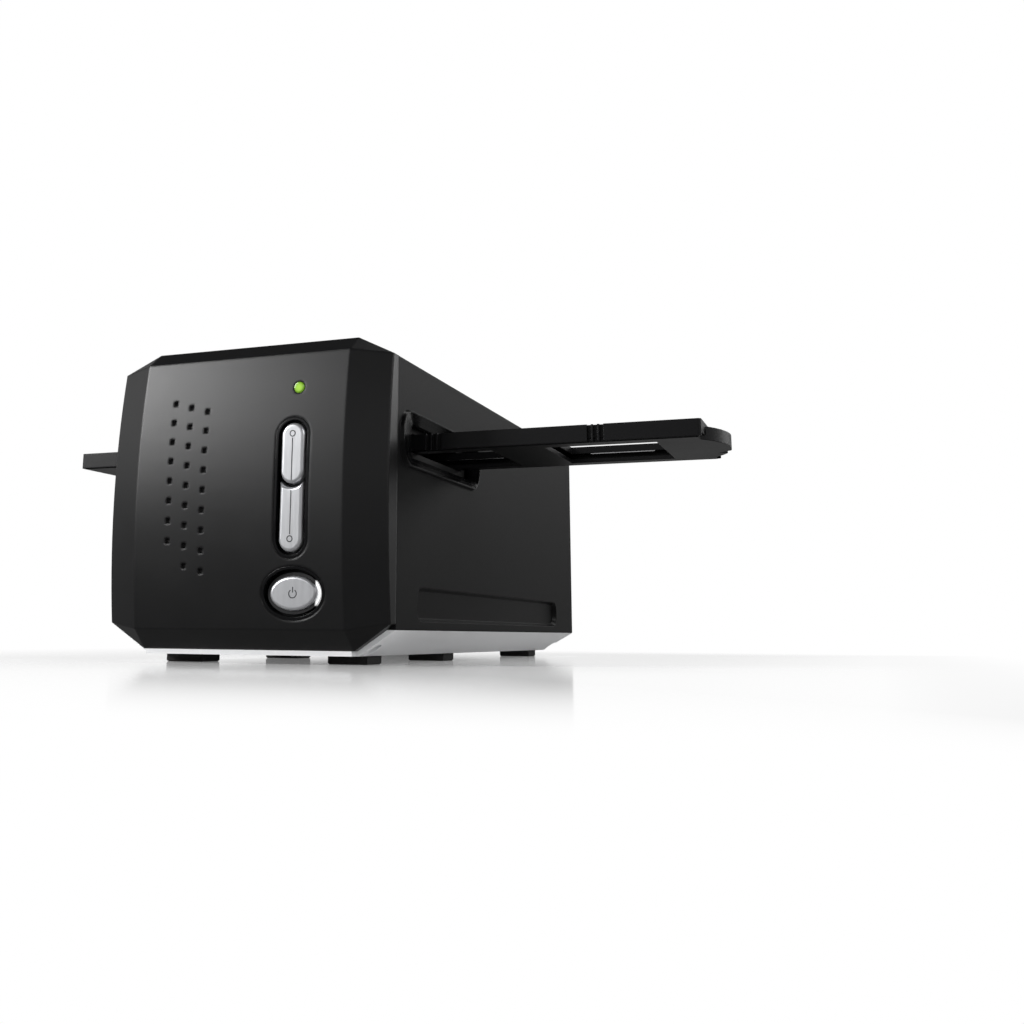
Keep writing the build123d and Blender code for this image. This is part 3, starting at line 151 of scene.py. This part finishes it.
class Finish(Nodes):
    """A finish whose uniform values are set on the shader's own sockets."""

    def __init__(self, name, **uniform):
        self.material = bpy.data.materials.new(name)
        self.material.use_nodes = True
        super().__init__(self.material.node_tree, "Object")
        self.shader = self.tree.nodes["Principled BSDF"]
        for word, value in uniform.items():
            self.shader.inputs[word.replace("_", " ")].default_value = value

    def noise(self, scale, detail=2.0, stretch=(1.0, 1.0, 1.0)):
        spot = self.node("ShaderNodeMapping", {}, {"Vector": self.place, "Scale": stretch})
        sockets = {"Vector": spot, "Scale": scale, "Detail": detail}
        return self.node("ShaderNodeTexNoise", {}, sockets)

    def blend(self, amount, first, second):
        colours = {"Factor": amount, 6: (*first, 1.0), 7: (*second, 1.0)}
        return self.node("ShaderNodeMix", {"data_type": "RGBA"}, colours, output=2)

    def colour(self, amount, first, second):
        self.join(self.blend(amount, first, second), self.shader.inputs["Base Color"])

    def glow(self, amount, first, second):
        self.join(self.blend(amount, first, second), self.shader.inputs["Emission Color"])

    def rough(self, value):
        self.join(value, self.shader.inputs["Roughness"])

    def relief(self, height, depth, edge=0.0):
        """A bump of a given depth, and where edge is given, corners rounded by that radius."""
        sockets = {"Height": height, "Distance": depth}
        if edge > 0.0:
            sockets["Normal"] = self.node("ShaderNodeBevel", {"samples": 6}, {"Radius": edge})
        bump = self.node("ShaderNodeBump", {}, sockets)
        self.join(bump, self.shader.inputs["Normal"])

    def on(self, *names):
        for name in names:
            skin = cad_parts[name].data.materials
            skin.clear()
            skin.append(self.material)


# ------------------------------------------------------------------ table
# A glossy white table that runs out into white. Near the scanner it shows its own paint, so that it
# mirrors the scanner faintly and keeps its shadow.
white = (1.0, 1.0, 1.0, 1.0)
table_side = 8.0
table_mesh = bmesh.new()
bmesh.ops.create_grid(table_mesh, x_segments=1, y_segments=1, size=table_side / 2)
table_data = bpy.data.meshes.new("table")
table_mesh.to_mesh(table_data)
table_mesh.free()
table = bpy.data.objects.new("table", table_data)
bpy.context.scene.collection.objects.link(table)

half_width = 0.060
half_depth = 0.136
mirrored_loss = 0.78
table_finish = Finish("table", Roughness=0.10, Base_Color=(0.86, 0.86, 0.86, 1.0), IOR=1.35)
beside = abs(table_finish.axis("X")) - half_width
before = abs(table_finish.axis("Y")) - half_depth
run_out = table_finish.ranged(beside.greatest(before), 0.04, 0.24, 0.12, 1.0,
                              interpolation_type="SMOOTHSTEP")
seen_ray = table_finish.ray("Camera") + table_finish.ray("Transmission")
mirrored_ray = table_finish.ray("Glossy")
table_white = {"Color": white, "Strength": 1.0 - mirrored_ray * mirrored_loss}
table_glow = table_finish.node("ShaderNodeEmission", {}, table_white)
table_paint = Wire(table_finish, table_finish.shader.outputs[0])
table_share = ((seen_ray > 0.5) * run_out).greatest(mirrored_ray)
table_finish.mix_into("Material Output", table_share, table_paint, table_glow)
table_data.materials.append(table_finish.material)


# ------------------------------------------------------------------ studio
# A white room with an even weak light. What is mirrored is brightest a little above the table and
# dark overhead, with a white backdrop low behind the scanner. Four soft boxes light it.
room = bpy.data.worlds.new("room")
bpy.context.scene.world = room
room.use_nodes = True
studio = Nodes(room.node_tree, "Generated")
aside = studio.axis("X")
behind = studio.axis("Y")
height = studio.axis("Z")
walls = [(0.0, 0.10), (0.08, 0.22), (0.20, 0.85), (0.38, 0.45), (0.60, 0.04)]
wall_grey = studio.node("ShaderNodeValToRGB", {"stops": walls}, {"Fac": height})
wall_grey = wall_grey * studio.ranged(behind, 0.88, 0.98, 1.0, 0.3)
backdrop = studio.ranged(aside, 0.0, 0.2, 0.9, 0.0) * studio.ranged(behind, 0.3, 0.6, 0.0, 1.0)
backdrop = backdrop * studio.ranged(height, 0.15, 0.35, 1.0, 0.0)
room_strength = backdrop.greatest(wall_grey).greatest(studio.ray("Camera"))
room_shown = studio.node("ShaderNodeBackground", {}, {"Color": white, "Strength": room_strength})
room_light = studio.node("ShaderNodeBackground", {}, {"Color": white, "Strength": 0.3})
shown_ray = studio.ray("Camera") + studio.ray("Glossy") + studio.ray("Transmission") > 0.5
studio.mix_into("World Output", shown_ray, room_light, room_shown)


def soft_box(name, place, aim, width, height, power):
    lamp = bpy.data.lights.new(name, "AREA")
    lamp.shape = "RECTANGLE"
    lamp.size = width
    lamp.size_y = height
    lamp.energy = power
    stand = bpy.data.objects.new(name, lamp)
    away = Vector(place) - Vector(aim)
    turn = away.to_track_quat("Z", "Y").to_matrix().to_4x4()
    stand.matrix_world = Matrix.Translation(place) @ turn
    bpy.context.scene.collection.objects.link(stand)


soft_box("left_box", (-1.13, -1.10, 0.71), (0.0, -0.13, 0.08), 0.6, 0.6, 27.0)
soft_box("top_box", (0.5, 0.5, 1.4), (0.0, 0.0, 0.06), 0.8, 0.8, 6.0)
soft_box("right_box", (1.3, -0.5, 0.9), (0.05, 0.0, 0.06), 0.7, 0.7, 8.0)
soft_box("edge_box", (1.25, 1.55, 0.75), (0.06, -0.05, 0.08), 0.8, 0.5, 5.0)


# ------------------------------------------------------------------ front, rear and tray
# Three mouldings: a satin black front, a finely grained black rear and a tray sprayed light silver.
# The grain comes from the etched steel mould.
def moulded(name, colour, gloss_loss, grain, depth, specular=0.3, edge=0.0):
    plastic = Finish(name, Specular_IOR_Level=specular)
    fine = plastic.noise(grain, 3.0)
    broad = plastic.noise(38.0, 2.0)
    lighter = tuple(part * 1.25 for part in colour)
    plastic.colour(broad, colour, lighter)
    plastic.rough(broad * 0.08 + fine * 0.08 + gloss_loss)
    plastic.relief(fine, depth, edge)
    return plastic


front_finish = moulded("front_satin_black", (0.0036, 0.0036, 0.0039), 0.27, 2600.0, 0.000012,
                       specular=0.30, edge=0.0013)
front_finish.on("front_bezel")
rear_finish = moulded("rear_grained_black", (0.0065, 0.0065, 0.0068), 0.42, 1500.0, 0.00003,
                      specular=0.18, edge=0.0004)
rear_finish.on("rear_panel")

tray_finish = Finish("tray_silver", Metallic=0.1, Specular_IOR_Level=0.5)
flake_cells = {"Vector": tray_finish.place, "Scale": 3200.0}
flakes = tray_finish.node("ShaderNodeTexVoronoi", {}, flake_cells)
tray_cloud = tray_finish.noise(24.0)
tray_finish.colour(flakes * 0.6 + tray_cloud * 0.4, (0.72, 0.725, 0.735), (0.84, 0.845, 0.855))
tray_finish.rough(flakes * 0.12 + 0.34)
tray_finish.relief(flakes, 0.000008)
tray_finish.on("base_tray")


# ------------------------------------------------------------------ cover of top and sides
# One grained black moulding. The mould is polished in the two dishes round the film slots and less
# so in the long low recesses by which the scanner is lifted. The dishes also get a darker colour,
# which is painted shade in these recesses.
flat_side = 0.0585
nearly = 0.00004
cover_finish = Finish("cover_grained_black", Specular_IOR_Level=0.10)
cover_grain = cover_finish.noise(1500.0, 3.0)
out_from_middle = abs(cover_finish.axis("X"))
along_body = cover_finish.axis("Y")
up_body = cover_finish.axis("Z")
sunk = out_from_middle < flat_side - nearly
raised = out_from_middle > flat_side + nearly
near_slot = along_body.within(-0.1212, -0.0290) * up_body.within(0.0705, 0.0955)
in_shaded_polished_dish = (sunk + raised) * near_slot * (out_from_middle > 0.0545)
in_grip = sunk * (out_from_middle > 0.0560) * up_body.within(0.0150, 0.0290)
# Painted shade: the dishes round the film slots get a darker colour than the rest of the cover.
cover_finish.colour(in_shaded_polished_dish, (0.0040, 0.0040, 0.0042), (0.0025, 0.0025, 0.0027))
cover_finish.rough(cover_grain * 0.08 + 0.46 - in_shaded_polished_dish * 0.30 - in_grip * 0.20)
cover_finish.relief(cover_grain, 0.00003, 0.0006)
cover_finish.on("top_cover")


# ------------------------------------------------------------------ feet and case screws
# Six die-cut rubber pads are glued into shallow pockets of the tray. Four long steel screws stand
# in its wells and hold tray and cover together, and the small screws inside are of the same steel.
rubber = Finish("foot_rubber", Specular_IOR_Level=0.25)
rubber_grain = rubber.noise(1100.0, 4.0)
rubber.colour(rubber_grain, (0.012, 0.012, 0.012), (0.030, 0.029, 0.028))
rubber.rough(rubber_grain * 0.15 + 0.72)
rubber.relief(rubber_grain, 0.00006)
rubber.on("rubber_feet")


def rolled(name, dark, light, gloss_loss, scale, stretch, depth):
    metal = Finish(name, Metallic=1.0)
    lines = metal.noise(scale, 4.0, stretch)
    metal.colour(lines, dark, light)
    metal.rough(lines * 0.14 + gloss_loss)
    metal.relief(lines, depth)
    return metal


screw_finish = rolled("screw_steel", (0.30, 0.30, 0.31), (0.52, 0.52, 0.54), 0.26, 1700.0,
                      (1, 1, 1), 0.00002)
screw_finish.on("case_screws", "board_screws", "chassis_screws", "guide_screws",
                "main_board_screws")


# ------------------------------------------------------------------ button surrounds
# Two glossy black frames pressed into the front: a pill for the scan keys and an oval for power.
# They come from polished moulds, so only their rounded rims catch the light.
surround_finish = moulded("surround_gloss_black", (0.0030, 0.0030, 0.0034), 0.12, 1900.0,
                          0.000006, specular=0.2, edge=0.0003)
surround_finish.on("button_surround", "power_surround")


# ------------------------------------------------------------------ scan keys and power key
# Three keys moulded in plastic and plated satin silver. Each scan key has a small ring and a long
# groove filled with dark ink, and the power key has the usual open ring with a bar.
key_finish = Finish("key_plated_silver", Metallic=0.7)
key_lines = key_finish.noise(900.0, 3.0, (1.0, 1.0, 0.12))
key_cloud = key_finish.noise(70.0)
key_finish.colour(key_lines * 0.5 + key_cloud * 0.5, (0.40, 0.405, 0.42), (0.52, 0.525, 0.54))
key_finish.rough(key_lines * 0.1 + 0.27)
key_finish.relief(key_lines, 0.000008)
key_finish.on("scan_button_upper", "scan_button_lower", "power_button")

ink_finish = Finish("ink_dark", Specular_IOR_Level=0.3)
ink_grain = ink_finish.noise(3000.0)
ink_finish.colour(ink_grain, (0.015, 0.015, 0.017), (0.040, 0.040, 0.044))
ink_finish.rough(ink_grain * 0.1 + 0.45)
ink_finish.relief(ink_grain, 0.000004)


def flat_ring(x, z, radius, half_line, gap, steps):
    """A ring in the XZ plane with a gap at its top, spun from a short edge across its line."""
    shape = bmesh.new()
    ends = [shape.verts.new((x, 0.0, z + radius + side)) for side in (half_line, -half_line)]
    across = shape.edges.new(ends)
    middle = (x, 0.0, z)
    bmesh.ops.rotate(shape, verts=ends, cent=middle, matrix=Matrix.Rotation(gap / 2, 3, "Y"))
    bmesh.ops.spin(shape, geom=[*ends, across], cent=middle, axis=(0.0, 1.0, 0.0),
                   angle=tau - gap, steps=steps, use_merge=gap == 0.0)
    return shape


def flat_line(x, low, high, half_line, steps):
    """An upright line in the XZ plane, cut into steps so that it can bend with its key."""
    shape = bmesh.new()
    half_size = Matrix.Diagonal((half_line, (high - low) / 2, 1.0, 1.0))
    upright = Matrix.Translation((x, 0.0, (low + high) / 2)) @ Matrix.Rotation(pi / 2, 4, "X")
    bmesh.ops.create_grid(shape, x_segments=1, y_segments=steps, size=1.0,
                          matrix=upright @ half_size)
    return shape


ink_depth = 0.00010
ink_rise = 0.00006
well_in_front = -0.2


def inlay(name, shape, key, body):
    """Thickens a flat sign, lays it on its key's crowned face and lets it ride with the key."""
    grown = bmesh.ops.extrude_face_region(shape, geom=shape.faces[:])["geom"]
    backs = [part for part in grown if isinstance(part, bmesh.types.BMVert)]
    bmesh.ops.translate(shape, verts=backs, vec=(0.0, ink_depth, 0.0))
    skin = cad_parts[key].data
    face = BVHTree.FromPolygons([v.co for v in skin.vertices], [p.vertices for p in skin.polygons])
    for vertex in shape.verts:
        start = Vector((vertex.co.x, well_in_front, vertex.co.z))
        hit = face.ray_cast(start, Vector((0.0, 1.0, 0.0)))[0]
        vertex.co.y += hit.y - ink_rise
    bmesh.ops.recalc_face_normals(shape, faces=shape.faces)
    data = bpy.data.meshes.new(name)
    shape.to_mesh(data)
    shape.free()
    data.materials.append(ink_finish.material)
    piece = bpy.data.objects.new(name, data)
    bpy.context.scene.collection.objects.link(piece)
    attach(piece, body)


key_x = 0.0228
for key, body, ring_z, low, high in (
    ("scan_button_upper", "scan_upper", 0.0828, 0.0655, 0.0812),
    ("scan_button_lower", "scan_lower", 0.0444, 0.0460, 0.0620),
):
    inlay(key + "_ring", flat_ring(key_x, ring_z, 0.00105, 0.00018, 0.0, 40), key, body)
    inlay(key + "_line", flat_line(key_x, low, high, 0.00017, 12), key, body)

power_x = 0.0236
inlay("power_ring", flat_ring(power_x, 0.0250, 0.00150, 0.00017, 1.2, 36), "power_button", "power")
inlay("power_bar", flat_line(power_x, 0.0254, 0.0274, 0.00017, 5), "power_button", "power")


# ------------------------------------------------------------------ lights on the front
# A light guide beside the power key, coloured near black with a painted white glow at its right
# end, and a round lens that glows yellow green when ready.
guide_finish = Finish("light_guide_white", Roughness=0.3, Emission_Strength=0.5)
guide_cloud = guide_finish.noise(300.0)
# Painted glow: only the guide's right end, picked out by its X position, is coloured white and made
# to emit.
painted_glow_from_x = 0.0319
painted_glow_end = (guide_finish.axis("X") - painted_glow_from_x) * 1600.0 + guide_cloud * 0.1
guide_finish.colour(painted_glow_end, (0.005, 0.005, 0.006), (0.86, 0.87, 0.88))
guide_finish.glow(painted_glow_end, (0.0, 0.0, 0.0), (1.0, 1.0, 1.0))
guide_finish.on("power_light_ring")

ready_x = 0.0240
ready_z = 0.1003
ready_finish = Finish("ready_lens_green", Roughness=0.12, Emission_Strength=0.55, Coat_Weight=0.6)
across = ready_finish.axis("X") - ready_x
upright = ready_finish.axis("Z") - ready_z
from_middle = (across * across + upright * upright) * 300000.0
ready_speckle = ready_finish.noise(1500.0)
ready_finish.colour(ready_speckle, (0.12, 0.26, 0.01), (0.18, 0.34, 0.02))
ready_finish.glow(from_middle, (0.42, 0.74, 0.06), (0.03, 0.09, 0.004))
ready_finish.on("status_lens")


# ------------------------------------------------------------------ slide holder
# Two satin black frames snapped together, with a handle at one end. Thin leaves, punched from
# spring steel strip, hold each slide, and the same strip makes the detent and the belt's spring.
holder_finish = moulded("holder_satin_black", (0.0035, 0.0035, 0.0039), 0.26, 1800.0, 0.000012,
                        specular=0.16, edge=0.0004)
holder_finish.on("holder_plate", "holder_frame")
leaf_finish = rolled("leaf_spring_steel", (0.42, 0.42, 0.43), (0.62, 0.62, 0.63), 0.20, 900.0,
                     (0.1, 1, 1), 0.00001)
leaf_finish.on("slide_springs", "detent_spring", "tension_spring")


# ------------------------------------------------------------------ film path and lamp
# A matt black channel with its cover plate, and over it the lamp: a matt box, a milky diffuser and
# a board of white diodes. The carriage's box is moulded in the same matt black.
channel_finish = moulded("inner_matt_black", (0.008, 0.008, 0.008), 0.58, 1300.0, 0.00004,
                         specular=0.15)
channel_finish.on("film_guide", "film_guide_cover", "lamp_housing", "optics_carriage",
                  "carriage_lid", "belt_clamp")

milk_finish = Finish("diffuser_milk", Subsurface_Weight=0.25)
milk_cloud = milk_finish.noise(160.0)
milk_finish.colour(milk_cloud, (0.78, 0.79, 0.78), (0.88, 0.89, 0.88))
milk_finish.rough(milk_cloud * 0.1 + 0.4)
milk_finish.relief(milk_cloud, 0.00002)
milk_finish.on("lamp_diffuser")

diode_finish = Finish("diode_white", Coat_Weight=0.4)
diode_grain = diode_finish.noise(2200.0)
diode_finish.colour(diode_grain, (0.80, 0.74, 0.42), (0.88, 0.86, 0.70))
diode_finish.rough(diode_grain * 0.1 + 0.3)
diode_finish.relief(diode_grain, 0.00001)
diode_finish.on("lamp_leds")


# ------------------------------------------------------------------ scanning carriage
# The box on bronze bushes carries a front-silvered mirror, a turned black barrel with two coated
# glasses, and the line sensor in its dark ceramic case.
bronze = Finish("bush_bronze", Metallic=1.0)
pores = bronze.node("ShaderNodeTexVoronoi", {}, {"Vector": bronze.place, "Scale": 2400.0})
bronze.colour(pores, (0.34, 0.20, 0.09), (0.62, 0.42, 0.22))
bronze.rough(pores * 0.2 + 0.32)
bronze.relief(pores, 0.00003)
bronze.on("carriage_bushes")

silvered = Finish("mirror_silvered", Metallic=1.0)
silver_haze = silvered.noise(45.0)
silvered.colour(silver_haze, (0.88, 0.89, 0.90), (0.94, 0.95, 0.95))
silvered.rough(silver_haze * 0.02 + 0.02)
silvered.on("mirror")

barrel_finish = Finish("barrel_black", Metallic=0.4)
turned_bands = {"Vector": barrel_finish.place, "Scale": 900.0, "Distortion": 0.4}
turned_lines = barrel_finish.node("ShaderNodeTexWave", {"bands_direction": "Y"}, turned_bands)
barrel_finish.colour(turned_lines, (0.012, 0.012, 0.013), (0.045, 0.045, 0.048))
barrel_finish.rough(turned_lines * 0.15 + 0.35)
barrel_finish.relief(turned_lines, 0.00003)
barrel_finish.on("lens_barrel")

glass = Finish("lens_coated_glass", Roughness=0.02, Transmission_Weight=1.0, IOR=1.6,
               Coat_Weight=0.5)
coat_cloud = glass.noise(60.0)
glass.colour(coat_cloud, (0.82, 0.90, 0.96), (0.92, 0.86, 0.97))
glass.on("lens_glass")

ceramic = Finish("sensor_ceramic", Coat_Weight=0.2)
ceramic_grain = ceramic.noise(1800.0, 4.0)
ceramic.colour(ceramic_grain, (0.030, 0.022, 0.030), (0.070, 0.056, 0.066))
ceramic.rough(ceramic_grain * 0.15 + 0.3)
ceramic.relief(ceramic_grain, 0.00001)
ceramic.on("image_sensor")


# ------------------------------------------------------------------ guide rods and drive
# Ground steel rods and axle, a pressed steel motor can with a brass pinion, and a gear and idler
# moulded in white acetal. A black toothed belt runs round them.
rod_finish = rolled("rod_ground_steel", (0.56, 0.56, 0.57), (0.74, 0.74, 0.75), 0.10, 2600.0,
                    (1, 0.05, 1), 0.000004)
rod_finish.on("guide_rod_left", "guide_rod_right", "drive_axle")

can_finish = rolled("motor_can", (0.40, 0.40, 0.41), (0.60, 0.60, 0.61), 0.28, 240.0,
                    (1, 1, 0.3), 0.00002)
can_finish.on("stepper_motor")

brass_finish = rolled("pinion_brass", (0.62, 0.42, 0.13), (0.82, 0.62, 0.26), 0.2, 1600.0,
                      (1, 1, 0.2), 0.00001)
brass_finish.on("motor_pinion", "standoffs")

acetal = Finish("gear_acetal", Subsurface_Weight=0.1)
acetal_cloud = acetal.noise(420.0, 3.0)
acetal.colour(acetal_cloud, (0.70, 0.69, 0.64), (0.82, 0.81, 0.76))
acetal.rough(acetal_cloud * 0.12 + 0.34)
acetal.relief(acetal_cloud, 0.00001)
acetal.on("drive_gear", "idler_pulley")

belt_finish = Finish("belt_rubber", Specular_IOR_Level=0.25)
tooth_bands = {"Vector": belt_finish.place, "Scale": 160.0, "Distortion": 0.0}
teeth = belt_finish.node("ShaderNodeTexWave", {"bands_direction": "Y"}, tooth_bands)
belt_grain = belt_finish.noise(1500.0)
belt_finish.colour(teeth * 0.6 + belt_grain * 0.4, (0.010, 0.010, 0.010), (0.040, 0.039, 0.038))
belt_finish.rough(belt_grain * 0.12 + 0.62)
belt_finish.relief(teeth, 0.0003)
belt_finish.on("drive_belt")


# ------------------------------------------------------------------ chassis and brackets
# Zinc-plated sheet steel, folded and pressed, with the plating's crystals just visible. The clamp
# of the lens barrel is cut from the same sheet.
sheet_finish = Finish("sheet_zinc_plated", Metallic=1.0)
crystal_cells = {"Vector": sheet_finish.place, "Scale": 260.0}
crystals = sheet_finish.node("ShaderNodeTexVoronoi", {}, crystal_cells, output="Color")
crystal_shade = sheet_finish.node("ShaderNodeRGBToBW", {}, {0: crystals})
sheet_finish.colour(crystal_shade, (0.42, 0.43, 0.45), (0.60, 0.61, 0.63))
sheet_finish.rough(crystal_shade * 0.16 + 0.28)
sheet_finish.relief(crystal_shade, 0.00001)
sheet_finish.on("chassis", "lens_clamp", "motor_bracket", "idler_bracket")


# ------------------------------------------------------------------ boards and electronics
# Green boards with tinned tracks under the lacquer, black chips, black switches, clear diodes, flat
# white cables, a nickel-plated data socket and a black power jack.
board_finish = Finish("board_green", Coat_Weight=0.3)
track_bricks = {"Vector": board_finish.place, "Scale": 170.0, "Mortar Size": 0.07}
tracks = board_finish.node("ShaderNodeTexBrick", {"offset": 0.37}, track_bricks, output="Fac")
board_weave = board_finish.noise(1600.0)
board_finish.colour(tracks * 0.8 + board_weave * 0.2, (0.010, 0.095, 0.035), (0.050, 0.22, 0.085))
board_finish.rough(board_weave * 0.12 + 0.3)
board_finish.relief(tracks, 0.00003)
board_finish.on("button_board", "lamp_board", "sensor_board", "main_board")

chip_finish = moulded("chip_black", (0.016, 0.016, 0.017), 0.44, 2400.0, 0.00001)
chip_finish.on("board_chips")
switch_finish = moulded("switch_black", (0.013, 0.013, 0.014), 0.36, 2000.0, 0.00001)
switch_finish.on("tact_switches", "home_sensor")
jack_finish = moulded("jack_black", (0.012, 0.012, 0.012), 0.34, 1700.0, 0.00001)
jack_finish.on("power_jack")

clear_finish = Finish("diode_clear", Transmission_Weight=0.7, IOR=1.5)
clear_cloud = clear_finish.noise(500.0)
clear_finish.colour(clear_cloud, (0.80, 0.84, 0.84), (0.92, 0.94, 0.94))
clear_finish.rough(clear_cloud * 0.08 + 0.12)
clear_finish.on("front_leds")

socket_finish = rolled("socket_nickel", (0.50, 0.50, 0.50), (0.70, 0.70, 0.69), 0.22, 700.0,
                       (1, 0.2, 1), 0.00001)
socket_finish.on("usb_socket")

ribbon_finish = Finish("ribbon_white", Specular_IOR_Level=0.35)
wire_bands = {"Vector": ribbon_finish.place, "Scale": 300.0, "Distortion": 0.0}
wires = ribbon_finish.node("ShaderNodeTexWave", {"bands_direction": "X"}, wire_bands)
ribbon_finish.colour(wires, (0.52, 0.53, 0.55), (0.80, 0.80, 0.80))
ribbon_finish.rough(wires * 0.1 + 0.42)
ribbon_finish.relief(wires, 0.0001)
ribbon_finish.on("sensor_ribbon", "front_ribbon")
